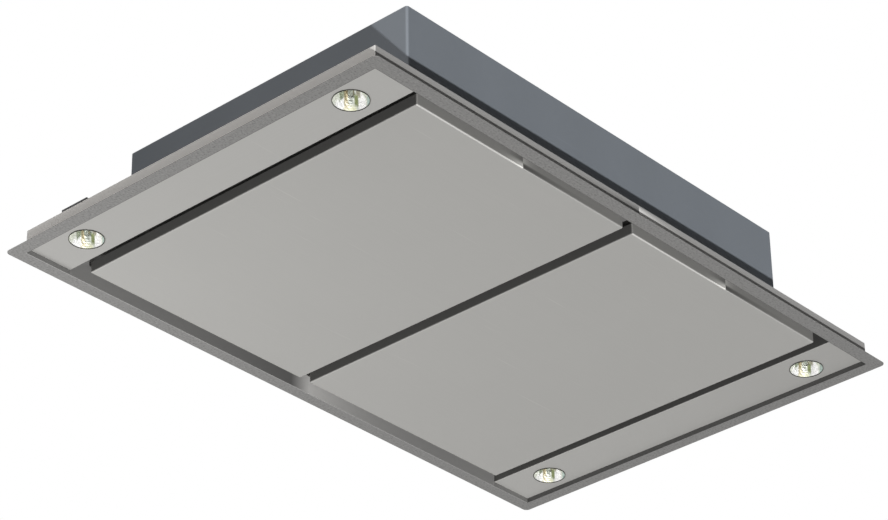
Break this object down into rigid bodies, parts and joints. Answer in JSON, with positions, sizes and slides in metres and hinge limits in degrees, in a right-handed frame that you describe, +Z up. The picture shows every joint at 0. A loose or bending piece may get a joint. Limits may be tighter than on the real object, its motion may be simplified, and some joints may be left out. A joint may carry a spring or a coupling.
{
  "type": "ceiling range hood",
  "caption": "Flat ceiling range hood: a flanged steel tray with edge-suction panels and lamps under a blower housing with a side duct collar.",
  "frame": {"origin": "centre of the flange's underside, the hood's lowest face", "axes": "+X along the hood's long side towards the duct collar, +Y towards the panels' hinged edges, +Z up into the ceiling"},
  "size_m": [1.1, 0.7, 0.218],
  "materials": {
    "satin_steel": "satin stainless sheet",
    "galvanised": "galvanised sheet, dull blue grey",
    "zinc_sheet": "zinc plated sheet",
    "bright_pins": "bright plated steel",
    "filter_aluminium": "mill finish",
    "filter_mesh": "expanded and layered mesh",
    "lamp_bezel": "dark ring",
    "reflector": "bright faceted reflector",
    "bulb_glass": "clear glass capsule",
    "ceramic": null,
    "lamp_box": "dark paint",
    "black_plastic": "black moulded",
    "white_plastic": "white moulded",
    "motor_black": "black enamel",
    "mount_rubber": "soft black rubber",
    "board_green": "lacquered board with parts"
  },
  "bodies": {
    "hood": {"flange_frame": "satin_steel", "tray_shell": "satin_steel", "light_strip_left": "satin_steel", "light_strip_right": "satin_steel", "lamp_bezel_1": "lamp_bezel", "lamp_bezel_2": "lamp_bezel", "lamp_bezel_3": "lamp_bezel", "lamp_bezel_4": "lamp_bezel", "lamp_reflector_1": "reflector", "lamp_reflector_2": "reflector", "lamp_reflector_3": "reflector", "lamp_reflector_4": "reflector", "lamp_bulb_1": "bulb_glass", "lamp_bulb_2": "bulb_glass", "lamp_bulb_3": "bulb_glass", "lamp_bulb_4": "bulb_glass", "lamp_housings": "lamp_box", "lamp_terminal": "black_plastic", "lamp_sockets": "ceramic", "hinge_brackets": "zinc_sheet", "hinge_pins": "bright_pins", "catch_magnets": "black_plastic", "filter_frame_left": "filter_aluminium", "filter_frame_right": "filter_aluminium", "filter_mesh_left": "filter_mesh", "filter_mesh_right": "filter_mesh", "filter_rails": "zinc_sheet", "housing_wrap": "galvanised", "housing_back": "galvanised", "housing_lid": "galvanised", "blower_scroll": "galvanised", "inlet_ring": "galvanised", "motor": "motor_black", "motor_spider": "zinc_sheet", "blower_mounts": "mount_rubber", "duct_plate": "galvanised", "duct_collar": "galvanised", "damper_pin": "bright_pins", "control_box": "white_plastic", "control_cover": "white_plastic", "circuit_board": "board_green", "cable_gland": "black_plastic", "hanging_brackets": "zinc_sheet", "screws": "bright_pins"},
    "panel_left": {"panel_skin_left": "satin_steel", "panel_back_left": "zinc_sheet", "hinge_leaves_left": "zinc_sheet", "strike_plates_left": "zinc_sheet"},
    "panel_right": {"panel_skin_right": "satin_steel", "panel_back_right": "zinc_sheet", "hinge_leaves_right": "zinc_sheet", "strike_plates_right": "zinc_sheet"},
    "latch_left": {"filter_latch_left": "black_plastic"},
    "latch_right": {"filter_latch_right": "black_plastic"},
    "impeller": {"impeller": "zinc_sheet", "motor_shaft": "bright_pins"},
    "flap_front": {"damper_flap_front": "filter_aluminium"},
    "flap_back": {"damper_flap_back": "filter_aluminium"}
  },
  "joints": [
    {"name": "panel_left_hinge", "type": "hinge", "parent": "hood", "child": "panel_left", "pos_m": [-0.2194, 0.3013, 0.025], "axis": [1, 0, 0], "range_deg": [0, 90]},
    {"name": "panel_right_hinge", "type": "hinge", "parent": "hood", "child": "panel_right", "pos_m": [0.2194, 0.3013, 0.025], "axis": [1, 0, 0], "range_deg": [0, 90]},
    {"name": "latch_left_slide", "type": "slide", "parent": "hood", "child": "latch_left", "axis": [0, 1, 0], "range_m": [0, 0.006], "stiffness_N_per_m": 400, "springref_m": -0.004},
    {"name": "latch_right_slide", "type": "slide", "parent": "hood", "child": "latch_right", "axis": [0, 1, 0], "range_m": [0, 0.006], "stiffness_N_per_m": 400, "springref_m": -0.004},
    {"name": "impeller_spin", "type": "hinge", "parent": "hood", "child": "impeller", "pos_m": [0.1, -0.1207, 0.113], "axis": [0, 0, 1], "continuous": true},
    {"name": "flap_front_hinge", "type": "hinge", "parent": "hood", "child": "flap_front", "pos_m": [0.412, 0, 0.1155], "axis": [0, 0, 1], "range_deg": [0, 75], "stiffness_Nm_per_rad": 0.02, "springref_deg": -11.46},
    {"name": "flap_back_hinge", "type": "hinge", "parent": "hood", "child": "flap_back", "pos_m": [0.412, 0, 0.1155], "axis": [0, 0, -1], "range_deg": [0, 75], "stiffness_Nm_per_rad": 0.02, "springref_deg": -11.46}
  ]
}
